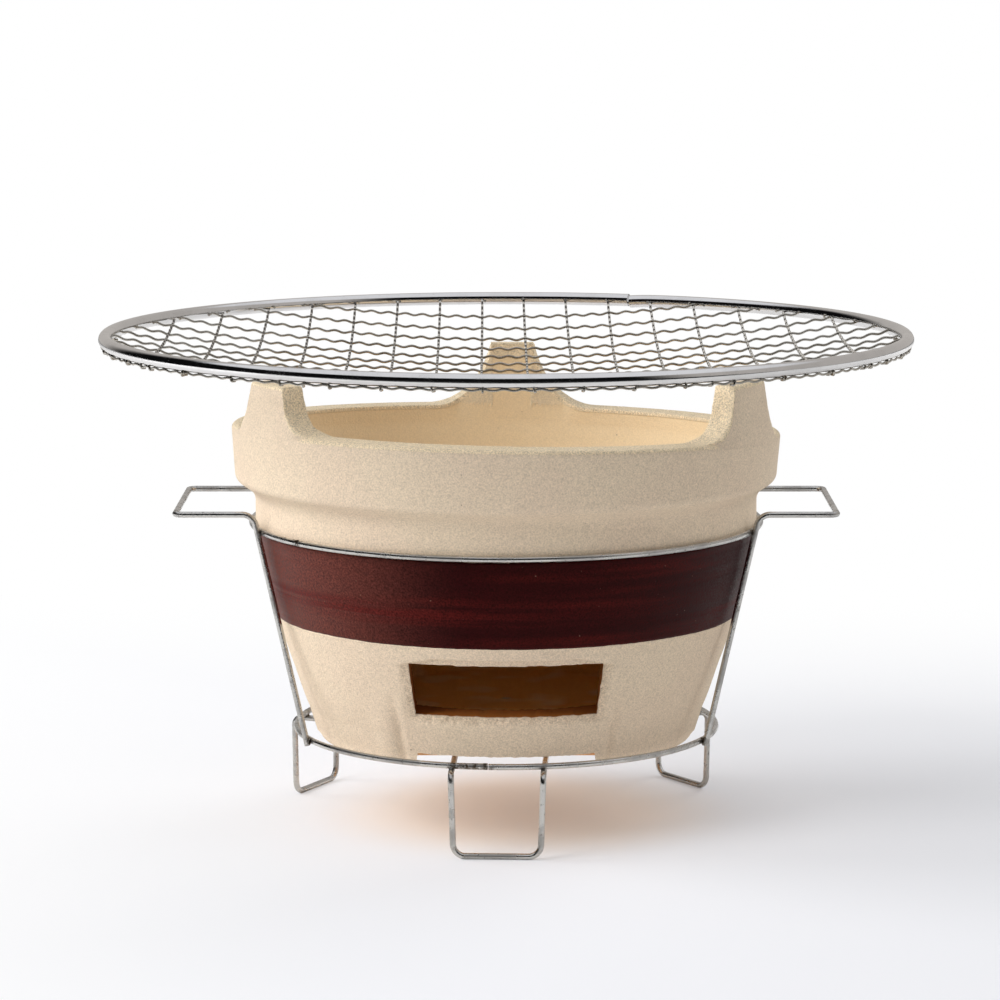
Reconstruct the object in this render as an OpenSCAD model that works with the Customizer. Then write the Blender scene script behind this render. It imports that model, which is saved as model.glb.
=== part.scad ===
// Table-top charcoal brazier: a ceramic pot with a fire grate, standing in a wire
// stand with two handles and three legs, and carrying a round dished wire net.
// Millimetres, +Z up. The origin is on the table under the middle of the pot, and
// the vent opens towards -Y.

/* [Pot] */
// Outer width of the collar at the rim
rim_d = 182.6; // [175:0.1:190]
// Outer width of the collar at its lower edge
collar_d = 180.4; // [173:0.1:182]
// Height of the collar's outer face
collar_h = 17.7; // [12:0.1:24]
// Height of the slope under the collar
collar_slope_h = 4.6; // [2:0.1:8]
// Outer width of the neck under the collar
neck_d = 167.2; // [158:0.1:171]
// Height of the bare neck between the band and the slope
neck_h = 11.8; // [10:0.1:16]
// Radius of the belly's curve, seen from the side
belly_curve_r = 240; // [150:1:400]
// Outer width where the belly meets the foot
belly_low_d = 130.8; // [127:0.1:134]
// Height of the foot's slope above the seat on the leg wires
foot_slope_h = 8; // [6:0.1:10]
// How far the foot's outer edge stands in from the belly
foot_inset = 3.2; // [2:0.1:5]
// Depth of the foot ring below the pot's underside
foot_h = 4.8; // [3:0.1:7]
// Thickness of the foot ring
foot_wall = 10.2; // [7:0.1:13]
// Rounding of the rim's outer edge
rim_round = 3; // [1:0.1:4]

/* [Hollow] */
// Thickness of the wall at the rim
rim_wall = 11.5; // [9:0.1:13]
// Thickness of the wall just above the grate ledge
ledge_wall = 12; // [9:0.1:14]
// Height of the grate ledge above the seat
ledge_h = 40; // [36:0.1:46]
// Width of the grate ledge
ledge_w = 8; // [5:0.1:10]
// Thickness of the wall at the pot's floor
floor_wall = 12.4; // [9:0.1:14]
// Thickness of the pot's floor
floor_t = 9; // [7:0.1:12]

/* [Lugs] */
// Number of lugs that carry the net
lug_count = 3; // [3:1:5]
// Height of the lugs above the rim
lug_h = 17.5; // [14.5:0.1:20]
// Width of a lug's top
lug_top_w = 19.5; // [14:0.1:24]
// Lean of a lug's sides, in degrees
lug_lean = 15.6; // [8:0.1:22]
// Radius of the fillets between the lugs and the rim
lug_fillet = 14; // [8:0.1:14]
// Step from the collar's face in to a lug's face
lug_step = 1.5; // [0.5:0.1:3]
// Step from the chamber's edge out to the root of a lug's inner face
lug_in_step = 0.5; // [0.2:0.1:2]
// How far a lug's face leans in over its height
lug_draft = 1; // [0:0.1:2]
// Thickness of a lug's top
lug_top_t = 7.6; // [6:0.1:8.5]

/* [Vent] */
// Width of the vent along its top edge
vent_top_w = 61; // [50:0.1:66]
// Width of the vent along its lower edge
vent_low_w = 57; // [46:0.1:60]
// Height of the vent
vent_h = 17.3; // [12:0.1:18.5]
// Height of the vent's sill above the seat
vent_sill_h = 15; // [13:0.1:17]
// Width of the rough border beside and below the vent
vent_border = 3.2; // [1.5:0.1:4]
// Depth of the rough border
vent_border_depth = 1.2; // [0.5:0.1:2]
// Width of the notches in the foot ring over the legs
notch_w = 57; // [44:0.1:58]
// How far a notch's sides lean out on each side
notch_flare = 1.6; // [0:0.1:3]
// Height of a notch above the seat
notch_rise = 1.6; // [0.8:0.1:3]

/* [Band] */
// Height of the coloured band
band_h = 30.9; // [22:0.1:34]
// Height of the band's lower edge above the seat
band_low_h = 38; // [36:0.1:44]
// Thickness of the band
band_t = 0.4; // [0.3:0.05:1]

/* [Fire grate] */
// Thickness of the fire grate
grate_t = 8; // [6:0.1:10]
// Gap between the fire grate and the chamber's wall
grate_gap = 1; // [0.6:0.1:2]
// Width of the grate's holes
grate_hole_d = 10; // [7:0.1:12]
// Radius of the inner ring of holes
grate_ring_r = 22; // [19:0.1:24]
// Step from one ring of holes to the next
grate_ring_step = 21; // [18:0.1:23]
// Number of rings of holes around the middle hole
grate_rings = 2; // [1:1:2]
// Number of holes added with each ring
grate_ring_holes = 6; // [4:1:8]

/* [Wire stand] */
// Thickness of the stand's wire
wire_t = 2; // [1.6:0.1:3]
// Height of the lower ring's middle above the table
leg_h = 29.5; // [24:0.1:40]
// Gap between the belly's lower edge and the lower ring
belly_gap = 4.1; // [2:0.1:6]
// Gap between the neck and the upper ring
neck_gap = 0.3; // [0.2:0.05:1]
// Width of a leg where it hangs from the lower ring
leg_top_w = 29.6; // [24:0.1:36]
// Width of a leg on the table
leg_low_w = 28; // [20:0.1:32]
// Length of a leg's wires under the pot
leg_reach = 30; // [26:0.1:34]
// Radius of a leg's corners on the table
leg_corner_r = 4; // [3:0.1:6]
// Radius of the bend under the lower ring
leg_bend_r = 3; // [2:0.1:5]
// Turn of the front leg from its notch's middle, in degrees
front_leg_lead = -2.3; // [-5:0.1:5]
// Turn of the two rear legs from their notches' middles, in degrees
rear_leg_lead = 3.5; // [-5:0.1:5]
// Width of a handle
handle_w = 60; // [44:0.1:70]
// How far a handle stands out from the upper ring
handle_depth = 25.6; // [20:0.1:40]
// Height of a handle above the upper ring
handle_rise = 6; // [5:0.1:6.5]
// Radius of the bend where an upright turns out into the handle
handle_bend_r = 4.5; // [3:0.1:5]
// Radius of the handle's outer corners
handle_corner_r = 2.6; // [2:0.1:6]

/* [Net] */
// Outer width of the net
net_d = 270; // [250:0.1:300]
// Thickness of the rim tube
rim_tube_t = 4.5; // [3:0.1:6]
// Thickness of the net's wires
net_wire_t = 0.8; // [0.7:0.05:1.2]
// Number of wires that run from left to right, one more than from front to back
across_count = 17; // [13:1:20]
// Gap between the outermost wires and the rim tube
net_edge_gap = 8.5; // [5:0.1:12]
// Depth of the dish
dish_depth = 11.2; // [8:0.1:16]

/* [Hidden] */
$fn = 96;
wire_fn = 32;
hole_fn = 48;
arc_steps = 10;
belly_steps = 12;
cut_over = 2;
lug_root = 6;

// Clearances and welds
seat_gap = 0.3;
net_seat_gap = 0.3;
layer_gap = 0.05;
band_edge_gap = 0.1;
weld_sink = 0.15;
wire_end_drop = 1.5;
sleeve_over = 0.02;
sleeve_half = 0.15;
sleeve_back = 0.05;

// Stand
wire_r = wire_t / 2;
weld_pitch = wire_t - weld_sink;
lower_ring_z = leg_h;
leg_wire_z = lower_ring_z - weld_pitch;
seat_z = leg_wire_z + wire_r + seat_gap;

// Pot, from its seat on the leg wires upwards
rim_r = rim_d / 2;
neck_r = neck_d / 2;
belly_low_r = belly_low_d / 2;
foot_r = belly_low_r - foot_inset;
foot_hollow_r = foot_r - foot_wall;
foot_z = seat_z - foot_h;
belly_low_z = seat_z + foot_slope_h;
floor_z = seat_z + floor_t;
ledge_z = seat_z + ledge_h;
vent_z = seat_z + vent_sill_h;
band_low_z = seat_z + band_low_h;
band_top_z = band_low_z + band_h;
slope_z = band_top_z + neck_h;
collar_z = slope_z + collar_slope_h;
rim_z = collar_z + collar_h;
rim_in_r = rim_r - rim_wall;
lug_top_z = rim_z + lug_h;
lug_out_r = rim_r - lug_step;
lug_top_out_r = lug_out_r - lug_draft;
lug_top_in_r = lug_top_out_r - lug_top_t;
lug_turn = 90;
leg_turn = -90;
leg_count = 3;
leg_step = 360 / leg_count;

// Rings of the stand, from the pot that they hold
upper_ring_z = band_top_z + wire_r + band_edge_gap;
upper_ring_r = neck_r + neck_gap + wire_r;
lower_ring_r = belly_low_r + belly_gap + wire_r;
handle_z = upper_ring_z + handle_rise;

// Net: its wires lie on a sphere that rests on the lugs
net_r = net_d / 2;
rim_tube_r = rim_tube_t / 2;
rim_mid_r = net_r - rim_tube_r;
net_inner_r = rim_mid_r - rim_tube_r;
wire_end_r = net_r - net_wire_t / 2;
layer_shift = (net_wire_t + layer_gap) / 2;
dish_r = (rim_mid_r * rim_mid_r + dish_depth * dish_depth) / (2 * dish_depth);
dish_drop = function (r) sqrt(dish_r * dish_r - r * r);
dish_mid_z = lug_top_z + net_seat_gap + net_wire_t / 2 + layer_shift + dish_drop(lug_top_in_r);
rim_tube_z = dish_mid_z - dish_drop(rim_mid_r) + layer_shift + net_wire_t / 2 + layer_gap + rim_tube_r;
along_count = across_count - 1;
net_pitch = 2 * (net_inner_r - net_edge_gap) / (across_count - 1);
wire_offset = function (i, count) (i - (count - 1) / 2) * net_pitch;

along_names = [for (i = [0:along_count - 1]) str("net_wire_along_", i + 1)];
across_names = [for (i = [0:across_count - 1]) str("net_wire_across_", i + 1)];

clay = [0.925, 0.85, 0.74];
oxblood = [0.28, 0.13, 0.14];
steel = [0.7, 0.7, 0.7];

// Points of a round stretch of an outline
function arc_points(cx, cy, r, from, to, steps) =
    [for (i = [0:steps]) let (a = from + (to - from) * i / steps) [cx + r * cos(a), cy + r * sin(a)]];

// Radius of the belly at a height: an arc from the foot's slope up to the neck
belly_rise = [neck_r - belly_low_r, band_top_z - belly_low_z];
belly_chord = norm(belly_rise);
belly_back = sqrt(belly_curve_r * belly_curve_r - belly_chord * belly_chord / 4);
belly_mid = [
    (neck_r + belly_low_r) / 2 - belly_back * belly_rise[1] / belly_chord,
    (band_top_z + belly_low_z) / 2 + belly_back * belly_rise[0] / belly_chord];
function belly_radius(z) =
    belly_mid[0] + sqrt(belly_curve_r * belly_curve_r - pow(z - belly_mid[1], 2));
function belly_points(from, to, inset) =
    [for (i = [0:belly_steps]) let (z = from + (to - from) * i / belly_steps) [belly_radius(z) - inset, z]];

// Chambers, from the walls around them
chamber_low_r = belly_radius(ledge_z) - ledge_wall;
ash_top_r = chamber_low_r - ledge_w;
ash_floor_r = belly_low_r - floor_wall;

// Fire grate
grate_r = chamber_low_r - grate_gap;
grate_z = ledge_z + seat_gap;

// Half section of the pot's solid, with the shallow seat of the band
pot_section = concat(
    [[0, seat_z], [foot_hollow_r, seat_z], [foot_hollow_r, foot_z], [foot_r, foot_z]],
    belly_points(belly_low_z, band_low_z, 0),
    belly_points(band_low_z, band_top_z, band_t),
    [[neck_r, band_top_z], [neck_r, slope_z], [collar_d / 2, collar_z]],
    arc_points(rim_r - rim_round, rim_z - rim_round, rim_round, 0, 90, arc_steps),
    [[rim_in_r, rim_z], [0, rim_z]]);

// Half section of the two chambers
hollow_section = [
    [0, floor_z], [ash_floor_r, floor_z], [ash_top_r, ledge_z],
    [chamber_low_r, ledge_z], [rim_in_r, rim_z], [rim_in_r, rim_z + cut_over],
    [0, rim_z + cut_over]];

// Half section of a ring that holds the lugs
lug_section = [
    [rim_in_r + lug_in_step, rim_z - lug_root], [lug_out_r, rim_z - lug_root],
    [lug_top_out_r, lug_top_z], [lug_top_in_r, lug_top_z]];

// Side view of a lug: a leaning side that runs out into the rim in a fillet
lug_foot_w = lug_top_w / 2 + lug_h * tan(lug_lean);
lug_fillet_x = lug_foot_w + lug_fillet * tan((90 - lug_lean) / 2);
lug_side = concat(
    [[lug_top_w / 2, lug_h]],
    arc_points(lug_fillet_x, lug_fillet, lug_fillet, 180 + lug_lean, 270, arc_steps),
    [[lug_fillet_x, -lug_root], [0, -lug_root], [0, lug_h]]);

// Front views of the vent and of its rough border
vent_shape = [
    [-vent_low_w / 2, vent_z], [vent_low_w / 2, vent_z],
    [vent_top_w / 2, vent_z + vent_h], [-vent_top_w / 2, vent_z + vent_h]];
border_shape = [
    [-vent_low_w / 2 - vent_border, vent_z - vent_border], [vent_low_w / 2 + vent_border, vent_z - vent_border],
    [vent_top_w / 2 + vent_border, vent_z + vent_h], [-vent_top_w / 2 - vent_border, vent_z + vent_h]];
border_section = concat(
    belly_points(vent_z - vent_border - cut_over, vent_z + vent_h + cut_over, vent_border_depth),
    [[neck_r, vent_z + vent_h + cut_over], [neck_r, vent_z - vent_border - cut_over]]);

// Front view of a notch, and the half section that keeps its cut outside the pot's seat
notch_half = notch_w / 2 + notch_flare;
notch_shape = [
    [-notch_w / 2, seat_z + notch_rise], [notch_w / 2, seat_z + notch_rise],
    [notch_half, foot_z - cut_over], [-notch_half, foot_z - cut_over]];
notch_in_r = foot_hollow_r - cut_over;
notch_out_r = belly_low_r + cut_over;
notch_section = [
    [notch_in_r, foot_z - 2 * cut_over], [neck_r, foot_z - 2 * cut_over],
    [neck_r, belly_low_z], [notch_in_r, belly_low_z]];

// A front view pushed through the wall, towards -Y
module through_wall(shape, from, to) {
    translate([0, -from, 0]) rotate([90, 0, 0]) linear_extrude(to - from) polygon(shape);
}

module lugs() {
    for (i = [0:lug_count - 1]) intersection() {
        rotate_extrude() polygon(lug_section);
        rotate([0, 0, lug_turn + i * 360 / lug_count]) rotate([90, 0, 90]) translate([0, rim_z, 0])
            linear_extrude(rim_r) union() {
                polygon(lug_side);
                mirror([1, 0]) polygon(lug_side);
            }
    }
}

module pot_body() {
    color(clay) difference() {
        union() {
            difference() {
                rotate_extrude() polygon(pot_section);
                rotate_extrude() polygon(hollow_section);
            }
            lugs();
        }
        through_wall(vent_shape, 0, rim_r);
        intersection() {
            rotate_extrude() polygon(border_section);
            through_wall(border_shape, ash_floor_r, rim_r);
        }
        for (i = [0:leg_count - 1]) rotate([0, 0, i * leg_step]) intersection() {
            rotate_extrude() polygon(notch_section);
            through_wall(notch_shape, 0, notch_out_r);
        }
    }
}

// The coloured band, flush with the belly
module colour_band() {
    color(oxblood) rotate_extrude() polygon(concat(
        belly_points(band_low_z, band_top_z, 0),
        belly_points(band_top_z, band_low_z, band_t)));
}

module fire_grate() {
    color(clay) translate([0, 0, grate_z]) difference() {
        cylinder(r = grate_r, h = grate_t);
        for (ring = [0:grate_rings]) {
            holes = max(1, grate_ring_holes * ring);
            hole_r = ring == 0 ? 0 : grate_ring_r + (ring - 1) * grate_ring_step;
            for (i = [0:holes - 1]) rotate([0, 0, i * 360 / holes]) translate([hole_r, 0, -cut_over])
                cylinder(d = grate_hole_d, h = grate_t + 2 * cut_over, $fn = hole_fn);
        }
    }
}

module wire_ring(r, z, t) {
    translate([0, 0, z]) rotate_extrude() translate([r, 0]) circle(d = t, $fn = wire_fn);
}

module stand_upper_ring() { color(steel) wire_ring(upper_ring_r, upper_ring_z, wire_t); }
module stand_lower_ring() { color(steel) wire_ring(lower_ring_r, lower_ring_z, wire_t); }

// Bent wire: straight lengths joined to round elbows by short sleeves a hair wider
// than the wire. points are the corners of the middle line, and bends holds the
// elbow radius at each inner corner.
function unit(v) = v / norm(v);
function turn_angle(a, b, c) = acos(unit(b - a) * unit(c - b));
function trim(a, b, c, r) = r * tan(turn_angle(a, b, c) / 2);

module straight_wire(from, to, t) {
    way = to - from;
    translate(from) rotate([0, acos(way[2] / norm(way)), atan2(way[1], way[0])])
        cylinder(d = t, h = norm(way), $fn = wire_fn);
}

module elbow(a, b, c, r, t) {
    way_in = unit(b - a);
    axis = unit(cross(way_in, c - b));
    back = cross(axis, way_in);
    middle = b - way_in * trim(a, b, c, r) + back * r;
    multmatrix([
        [-back[0], way_in[0], axis[0], middle[0]],
        [-back[1], way_in[1], axis[1], middle[1]],
        [-back[2], way_in[2], axis[2], middle[2]],
        [0, 0, 0, 1]])
        rotate_extrude(angle = turn_angle(a, b, c)) translate([r, 0]) circle(d = t, $fn = wire_fn);
    for (end = [a, c]) {
        way = unit(end - b);
        joint = b + way * trim(a, b, c, r);
        straight_wire(joint - way * sleeve_half, joint + way * sleeve_half, t + 2 * sleeve_over);
    }
}

module bent_wire(points, bends, t) {
    last = len(points) - 1;
    for (i = [0:last - 1]) {
        a = points[i];
        b = points[i + 1];
        way = unit(b - a);
        skip = i == 0 ? 0 : trim(points[i - 1], a, b, bends[i - 1]) + sleeve_back;
        stop = i == last - 1 ? 0 : trim(a, b, points[i + 2], bends[i]) + sleeve_back;
        straight_wire(a + way * skip, b - way * stop, t);
    }
    for (i = [1:last - 1]) elbow(points[i - 1], points[i], points[i + 1], bends[i - 1], t);
}

// Handle frame: two uprights welded outside both rings, turned out into a handle
handle_y = handle_w / 2;
upright_top_x = sqrt(pow(upper_ring_r + weld_pitch, 2) - handle_y * handle_y);
upright_low_x = sqrt(pow(lower_ring_r + weld_pitch, 2) - handle_y * handle_y);
upright_slope = (upright_top_x - upright_low_x) / (upper_ring_z - lower_ring_z);
function upright_x(z) = upright_low_x + (z - lower_ring_z) * upright_slope;
upright_end_z = lower_ring_z - wire_end_drop;
handle_x = upright_x(handle_z) + handle_depth;

module handle_wire() {
    color(steel) bent_wire([
            [upright_x(upright_end_z), -handle_y, upright_end_z],
            [upright_x(handle_z), -handle_y, handle_z],
            [handle_x, -handle_y, handle_z],
            [handle_x, handle_y, handle_z],
            [upright_x(handle_z), handle_y, handle_z],
            [upright_x(upright_end_z), handle_y, upright_end_z]],
        [handle_bend_r, handle_corner_r, handle_corner_r, handle_bend_r], wire_t);
}

module right_handle_wire() { handle_wire(); }
module left_handle_wire() { rotate([0, 0, 180]) handle_wire(); }

// Leg: one wire that hangs from the lower ring and carries the pot on its two ends
leg_out_r = lower_ring_r + leg_bend_r;
leg_in_r = leg_out_r - leg_reach;

module leg(turn) {
    color(steel) rotate([0, 0, turn]) bent_wire([
            [leg_in_r, -leg_top_w / 2, leg_wire_z],
            [leg_out_r, -leg_top_w / 2, leg_wire_z],
            [leg_out_r, -leg_low_w / 2, wire_r],
            [leg_out_r, leg_low_w / 2, wire_r],
            [leg_out_r, leg_top_w / 2, leg_wire_z],
            [leg_in_r, leg_top_w / 2, leg_wire_z]],
        [leg_bend_r, leg_corner_r, leg_corner_r, leg_bend_r], wire_t);
}

module front_leg() { leg(leg_turn + front_leg_lead); }
module right_rear_leg() { leg(leg_turn + leg_step + rear_leg_lead); }
module left_rear_leg() { leg(leg_turn + 2 * leg_step + rear_leg_lead); }

// Net
module net_rim() { color(steel) wire_ring(rim_mid_r, rim_tube_z, rim_tube_t); }

// One wire of the net, in the plane Y-Z at X = offset, arched like the dish
module net_wire(offset, shift) {
    arch_r = dish_drop(offset);
    half = asin(sqrt(wire_end_r * wire_end_r - offset * offset) / arch_r);
    color(steel) translate([offset, 0, dish_mid_z + shift]) rotate([0, 90, 0]) rotate([0, 0, -half])
        rotate_extrude(angle = 2 * half) translate([arch_r, 0]) circle(d = net_wire_t, $fn = wire_fn);
}

module along_wire(i) { net_wire(wire_offset(i, along_count), layer_shift); }
module across_wire(i) { rotate([0, 0, 90]) net_wire(wire_offset(i, across_count), -layer_shift); }

pot_body();
colour_band();
fire_grate();
stand_upper_ring();
stand_lower_ring();
left_handle_wire();
right_handle_wire();
front_leg();
left_rear_leg();
right_rear_leg();
net_rim();
for (i = [0:along_count - 1]) along_wire(i);
for (i = [0:across_count - 1]) across_wire(i);
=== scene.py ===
import math

import bmesh
import bpy
import numpy as np
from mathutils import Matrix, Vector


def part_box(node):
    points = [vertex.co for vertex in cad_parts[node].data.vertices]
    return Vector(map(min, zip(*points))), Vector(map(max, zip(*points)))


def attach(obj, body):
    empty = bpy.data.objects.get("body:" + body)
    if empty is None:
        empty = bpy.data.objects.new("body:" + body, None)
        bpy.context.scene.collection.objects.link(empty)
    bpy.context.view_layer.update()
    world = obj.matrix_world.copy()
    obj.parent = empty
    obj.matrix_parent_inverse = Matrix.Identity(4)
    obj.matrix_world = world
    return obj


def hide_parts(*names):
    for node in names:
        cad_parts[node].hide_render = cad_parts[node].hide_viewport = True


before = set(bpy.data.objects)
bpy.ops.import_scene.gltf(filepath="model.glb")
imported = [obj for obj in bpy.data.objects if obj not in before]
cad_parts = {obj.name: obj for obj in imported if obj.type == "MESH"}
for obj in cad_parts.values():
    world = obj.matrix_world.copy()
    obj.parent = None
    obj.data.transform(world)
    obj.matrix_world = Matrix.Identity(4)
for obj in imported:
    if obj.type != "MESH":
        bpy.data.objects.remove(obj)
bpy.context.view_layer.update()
print("frame loaded,", len(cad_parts), "nodes")

mm = 0.001
vertical = np.array([0.0, 0.0, 1.0])
scene = bpy.context.scene
scene.view_settings.view_transform = "Standard"


# ---- small helpers ----

# Points on circles about the vertical axis, for one angle or for many
def ringPoints(radius, height, turn):
    return np.stack(np.broadcast_arrays(radius * np.cos(turn), radius * np.sin(turn), height), -1)


# Points turned about the vertical axis
def turned(points, degrees):
    c, s = math.cos(math.radians(degrees)), math.sin(math.radians(degrees))
    return points @ np.array([[c, s, 0], [-s, c, 0], [0, 0, 1]])


def smoothStep(low, high, value):
    t = np.clip((value - low) / (high - low), 0, 1)
    return t * t * (3 - 2 * t)


# Lumps of the given size at each point, from -1 to 1. The large numbers scramble the cells of a grid, so that
# the same points always give the same lumps
def lumps(points, size, seed):
    cells = np.asarray(points, float) / size + seed * 17.31
    low = np.floor(cells).astype(np.int64)
    part = cells - low
    part = part * part * (3 - 2 * part)
    total = np.zeros(len(cells))
    for dx in (0, 1):
        for dy in (0, 1):
            for dz in (0, 1):
                corner = low + (dx, dy, dz)
                key = (corner[:, 0] * 73856093) ^ (corner[:, 1] * 19349663) ^ (corner[:, 2] * 83492791)
                key = (key * 2654435761 + seed * 40503) & 0xFFFFFF
                key = ((key >> 7) ^ key) * 31337 & 0xFFFF
                weight = np.where((dx, dy, dz), part, 1 - part).prod(1)
                total += weight * (key / 32767.5 - 1)
    return total


# Lumps of several sizes together; each layer has its size, depth and seed
def layeredLumps(points, layers):
    flat = points.reshape(-1, 3)
    return sum(lumps(flat, size, seed) * depth for size, depth, seed in layers).reshape(points.shape[:-1])


nearlyStraight = 1.56  # half the angle of a corner that is left as it is


# Corners rounded to their radii, then points about one step apart
def roundedLine(corners, radii, step):
    corners = [np.array(c, float) for c in corners]
    line = [corners[0]]
    for before, corner, after, radius in zip(corners, corners[1:], corners[2:], radii):
        toBefore = (before - corner) / np.linalg.norm(before - corner)
        toAfter = (after - corner) / np.linalg.norm(after - corner)
        half = math.acos(np.clip(toBefore @ toAfter, -1, 1)) / 2
        if radius <= 0 or half > nearlyStraight:
            line.append(corner)
            continue
        back = radius / math.tan(half)
        start, end = corner + toBefore * back, corner + toAfter * back
        middle = corner + (toBefore + toAfter) / np.linalg.norm(toBefore + toAfter) * radius / math.sin(half)
        bend = math.pi - 2 * half
        turns = max(2, int(math.ceil(bend * radius / step)), int(bend * 6))
        for i in range(turns + 1):
            spoke = (start - middle) * (1 - i / turns) + (end - middle) * i / turns
            line.append(middle + spoke / np.linalg.norm(spoke) * radius)
    line.append(corners[-1])
    points = [line[0]]
    for a, b in zip(line, line[1:]):
        gap = np.linalg.norm(b - a)
        if gap < 1e-6:
            continue
        count = max(1, int(math.ceil(gap / step)))
        points += [a + (b - a) * (i + 1) / count for i in range(count)]
    return np.array(points)


# A piece that rides on a body, wears a material and may replace nodes of the solids; without a body it is
# a floor or a cutter
def makeObject(name, verts, faces, body=None, nodes=(), material=None):
    mesh = bpy.data.meshes.new(name)
    mesh.from_pydata([tuple(v) for v in np.asarray(verts) * mm], [], [tuple(f) for f in faces])
    mesh.validate()
    mesh.polygons.foreach_set("use_smooth", [True] * len(mesh.polygons))
    mesh.update()
    piece = bpy.data.objects.new(name, mesh)
    scene.collection.objects.link(piece)
    if body:
        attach(piece, body)
        if nodes:
            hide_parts(*nodes)
    if material:
        mesh.materials.append(material)
    return piece


def sharpen(piece, degrees):
    piece.data.set_sharp_from_angle(angle=math.radians(degrees))


# Four-sided faces between two rows of the same number of points; the last point joins the first
def facesBetween(rowA, rowB, count):
    return [(rowA + k, rowA + (k + 1) % count, rowB + (k + 1) % count, rowB + k) for k in range(count)]


# Tubes along paths of points; a closed path joins its end to its start
def tubes(paths, radius, sides, closed=False):
    verts, faces, base = [], [], 0
    turn = np.arange(sides) * 2 * math.pi / sides
    for path in paths:
        path = np.asarray(path, float)
        count = len(path)
        if closed:
            way = np.roll(path, -1, 0) - np.roll(path, 1, 0)
        else:
            way = np.gradient(path, axis=0)
        way /= np.linalg.norm(way, axis=1)[:, None]
        side = np.cross(way, vertical)
        weak = np.linalg.norm(side, axis=1) < 0.2
        side[weak] = np.cross(way[weak], np.array([0.6, 0.8, 0.0]))
        side /= np.linalg.norm(side, axis=1)[:, None]
        for i in range(1, count):
            if weak[i] or weak[i - 1]:
                flat = side[i - 1] - way[i] * (side[i - 1] @ way[i])
                side[i] = flat / np.linalg.norm(flat)
        up = np.cross(side, way)
        size = np.broadcast_to(np.asarray(radius, float), (count,))
        ring = (path[:, None] + size[:, None, None] * (np.cos(turn)[None, :, None] * side[:, None]
                + np.sin(turn)[None, :, None] * up[:, None]))
        verts.append(ring.reshape(-1, 3))
        for i in range(count if closed else count - 1):
            faces += facesBetween(base + i * sides, base + ((i + 1) % count) * sides, sides)
        if not closed:
            faces.append(tuple(base + k for k in range(sides))[::-1])
            faces.append(tuple(base + (count - 1) * sides + k for k in range(sides)))
        base += count * sides
    return np.concatenate(verts), faces


# ---- camera, lamps, sky and floor ----

cameraSettings = {"place": (0, -1.2909, 0.2942), "pitch": 8.32, "lens": 140.4, "sensor": 36, "shift": -0.0062,
                  "clipEnd": 20}


def makeCamera(s):
    data = bpy.data.cameras.new("camera")
    data.lens, data.sensor_width, data.shift_x = s["lens"], s["sensor"], s["shift"]
    data.clip_end = s["clipEnd"]
    camera = bpy.data.objects.new("camera", data)
    camera.location = s["place"]
    camera.rotation_euler = (math.radians(90 - s["pitch"]), 0, 0)
    scene.collection.objects.link(camera)
    scene.camera = camera


lampSettings = {"size": 0.8, "aim": (0, 0, 0.09), "lamps": {
    "left": {"place": (-1.365, 0.241, 0.89), "watts": 14.2},
    "frontLeft": {"place": (-1.112, -0.778, 0.938), "watts": 12.3},
    "right": {"place": (1.338, -0.359, 0.89), "watts": 3.6},
    "rearRight": {"place": (0.98, 0.98, 0.89), "watts": 9.3}}}


def makeLamps(s):
    for name, one in s["lamps"].items():
        data = bpy.data.lights.new(name, "AREA")
        data.shape, data.size, data.energy = "SQUARE", s["size"], one["watts"]
        lamp = bpy.data.objects.new(name, data)
        lamp.location = one["place"]
        lamp.visible_glossy = False  # metal shows the room, and no lamps
        aim = np.array(s["aim"]) - np.array(one["place"])
        lamp.rotation_euler = (math.atan2(math.hypot(aim[0], aim[1]), -aim[2]), 0,
                               math.atan2(aim[1], aim[0]) - math.pi / 2)
        scene.collection.objects.link(lamp)


def addNode(tree, kind, inputs=None, **values):
    node = tree.nodes.new("ShaderNode" + kind)
    for key, value in values.items():
        setattr(node, key, value)
    for key, value in (inputs or {}).items():
        if isinstance(value, bpy.types.NodeSocket):
            tree.links.new(value, node.inputs[key])
        else:
            node.inputs[key].default_value = value
    return node


def calculate(tree, operation, a, b=0.0, clamp=False):
    return addNode(tree, "Math", {0: a, 1: b}, operation=operation, use_clamp=clamp).outputs[0]


def plus(tree, a, b, clamp=False):
    return calculate(tree, "ADD", a, b, clamp)


def minus(tree, a, b):
    return calculate(tree, "SUBTRACT", a, b)


def times(tree, product, *factors):
    for factor in factors:
        product = calculate(tree, "MULTIPLY", product, factor)
    return product


def largest(tree, most, *others):
    for other in others:
        most = calculate(tree, "MAXIMUM", most, other)
    return most


def remap(tree, value, low, high, toLow=0.0, toHigh=1.0):
    return addNode(tree, "MapRange", {"Value": value, "From Min": low, "From Max": high, "To Min": toLow,
                                      "To Max": toHigh}, interpolation_type="SMOOTHSTEP").outputs["Result"]


def mixColour(tree, factor, a, b):
    node = tree.nodes.new("ShaderNodeMix")
    node.data_type = "RGBA"
    for socket, value in ((node.inputs[0], factor), (node.inputs[6], a), (node.inputs[7], b)):
        if isinstance(value, bpy.types.NodeSocket):
            tree.links.new(value, socket)
        else:
            socket.default_value = (*value, 1)
    return node.outputs[2]


def objectPlace(tree):
    return addNode(tree, "TexCoord").outputs["Object"]


def axesOf(tree, place):
    return addNode(tree, "SeparateXYZ", {0: place}).outputs


def distanceTo(tree, place, spot):
    return addNode(tree, "VectorMath", {0: place, 1: spot}, operation="DISTANCE").outputs["Value"]


def scaled(tree, vector, factor):
    return addNode(tree, "VectorMath", {0: vector, "Scale": factor}, operation="SCALE").outputs["Vector"]


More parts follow.
